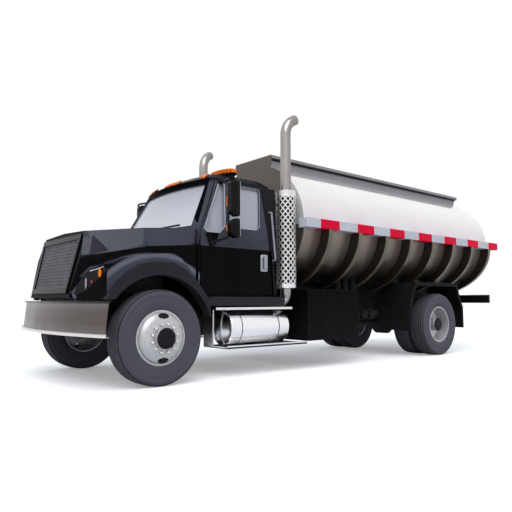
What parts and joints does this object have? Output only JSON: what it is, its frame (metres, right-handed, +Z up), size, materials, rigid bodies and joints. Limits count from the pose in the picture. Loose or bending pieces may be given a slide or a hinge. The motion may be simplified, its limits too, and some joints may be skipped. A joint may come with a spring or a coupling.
{
  "type": "tanker truck",
  "caption": "Two-axle conventional tanker truck with an elliptical ribbed tank, tilting hood, opening doors and lids, steered front wheels and free rolling wheels.",
  "frame": {"origin": "on the ground under the middle of the overall length and width", "axes": "+X forward along the truck, +Y to the driver's left, +Z up"},
  "size_m": [8.44, 2.596, 3.5298],
  "materials": {
    "tyre": "worn rubber",
    "wheel": "satin silver paint",
    "body_black": "gloss black paint",
    "dark_trim": "satin dark grey",
    "chassis": "satin black paint",
    "cast": "dull black",
    "stainless": "brushed stainless",
    "chrome": "bright",
    "mesh": "fine mesh",
    "glass": "clear",
    "lamp": "clear lamp lens",
    "amber": "amber lens",
    "cab_inside": "moulded grey",
    "seat": "dark woven cloth",
    "polished": "polished",
    "rib": "satin",
    "rail": "gloss with red and white bands",
    "plate": "dull grey-brown",
    "trough": "dull",
    "flap": "matt black"
  },
  "bodies": {
    "root": {"chassis_frame": "chassis", "leaf_springs": "cast", "front_axle": "cast", "rear_axle": "cast", "drive_shaft": "cast", "engine_block": "cast", "radiator": "cast", "bumper": "stainless", "cab_shell": "body_black", "cab_glass": "glass", "dashboard": "cab_inside", "seats": "seat", "roof_lamps": "amber", "cab_skirts": "dark_trim", "corner_panels": "dark_trim", "step_trays": "stainless", "fuel_tanks": "polished", "tool_boxes": "body_black", "exhaust_pipes": "chrome", "stack_shields": "chrome", "stack_guards": "chassis", "grab_rails": "stainless", "tank_shell": "polished", "tank_ribs": "rib", "side_rails": "rail", "top_trough": "trough", "front_plate": "plate", "rear_bumper": "chassis", "rear_ladder": "stainless", "mud_guards": "flap", "discharge_valves": "rib"},
    "hood": {"hood": "body_black", "fender_flares": "dark_trim", "grille_mesh": "mesh", "grille_surround": "chrome", "headlamps": "lamp"},
    "door_left": {"door_left": "body_black", "door_glass_left": "glass", "mirror_left": "dark_trim"},
    "knuckle_left": {"knuckle_left": "cast"},
    "wheel_front_left": {"front_tyre_left": "tyre", "front_rim_left": "wheel"},
    "wheel_rear_left": {"rear_tyre_left": "tyre", "rear_rim_left": "wheel"},
    "box_door_left": {"box_door_left": "body_black"},
    "door_right": {"door_right": "body_black", "door_glass_right": "glass", "mirror_right": "dark_trim"},
    "knuckle_right": {"knuckle_right": "cast"},
    "wheel_front_right": {"front_tyre_right": "tyre", "front_rim_right": "wheel"},
    "wheel_rear_right": {"rear_tyre_right": "tyre", "rear_rim_right": "wheel"},
    "box_door_right": {"box_door_right": "body_black"},
    "manhole_lid_1": {"manhole_lid_1": "rib"},
    "manhole_lid_2": {"manhole_lid_2": "rib"},
    "manhole_lid_3": {"manhole_lid_3": "rib"}
  },
  "joints": [
    {"name": "hood_tilt", "type": "hinge", "parent": "root", "child": "hood", "pos_m": [4.105, 0, 0.985], "axis": [0, 1, 0], "range_deg": [0, 60]},
    {"name": "door_left_swing", "type": "hinge", "parent": "root", "child": "door_left", "pos_m": [2.705, 1.011, 1.4], "axis": [0, 0, -1], "range_deg": [0, 65]},
    {"name": "steer_left", "type": "hinge", "parent": "root", "child": "knuckle_left", "pos_m": [3.305, 0.84, 0.52], "axis": [0, 0, 1], "range_deg": [-32, 32]},
    {"name": "wheel_front_left_spin", "type": "hinge", "parent": "knuckle_left", "child": "wheel_front_left", "pos_m": [3.305, 1.03, 0.525], "axis": [0, 1, 0], "continuous": true},
    {"name": "wheel_rear_left_spin", "type": "hinge", "parent": "root", "child": "wheel_rear_left", "pos_m": [-2.125, 0.91, 0.525], "axis": [0, 1, 0], "continuous": true},
    {"name": "box_door_left_lift", "type": "hinge", "parent": "root", "child": "box_door_left", "pos_m": [0.507, 1.15, 1.085], "axis": [1, 0, 0], "range_deg": [0, 90]},
    {"name": "door_right_swing", "type": "hinge", "parent": "root", "child": "door_right", "pos_m": [2.705, -1.011, 1.4], "axis": [0, 0, 1], "range_deg": [0, 65]},
    {"name": "steer_right", "type": "hinge", "parent": "root", "child": "knuckle_right", "pos_m": [3.305, -0.84, 0.52], "axis": [0, 0, 1], "range_deg": [-32, 32]},
    {"name": "wheel_front_right_spin", "type": "hinge", "parent": "knuckle_right", "child": "wheel_front_right", "pos_m": [3.305, -1.03, 0.525], "axis": [0, 1, 0], "continuous": true},
    {"name": "wheel_rear_right_spin", "type": "hinge", "parent": "root", "child": "wheel_rear_right", "pos_m": [-2.125, -0.91, 0.525], "axis": [0, 1, 0], "continuous": true},
    {"name": "box_door_right_lift", "type": "hinge", "parent": "root", "child": "box_door_right", "pos_m": [0.507, -1.15, 1.085], "axis": [-1, 0, 0], "range_deg": [0, 90]},
    {"name": "lid_1_open", "type": "hinge", "parent": "root", "child": "manhole_lid_1", "pos_m": [-0.147, 0, 3.0183], "axis": [0, -1, 0], "range_deg": [0, 100]},
    {"name": "lid_2_open", "type": "hinge", "parent": "root", "child": "manhole_lid_2", "pos_m": [-1.797, 0, 3.0183], "axis": [0, -1, 0], "range_deg": [0, 100]},
    {"name": "lid_3_open", "type": "hinge", "parent": "root", "child": "manhole_lid_3", "pos_m": [-3.447, 0, 3.0183], "axis": [0, -1, 0], "range_deg": [0, 100]}
  ],
  "couplings": [
    {"joint": "steer_right", "follows": "steer_left", "ratio": 1}
  ]
}
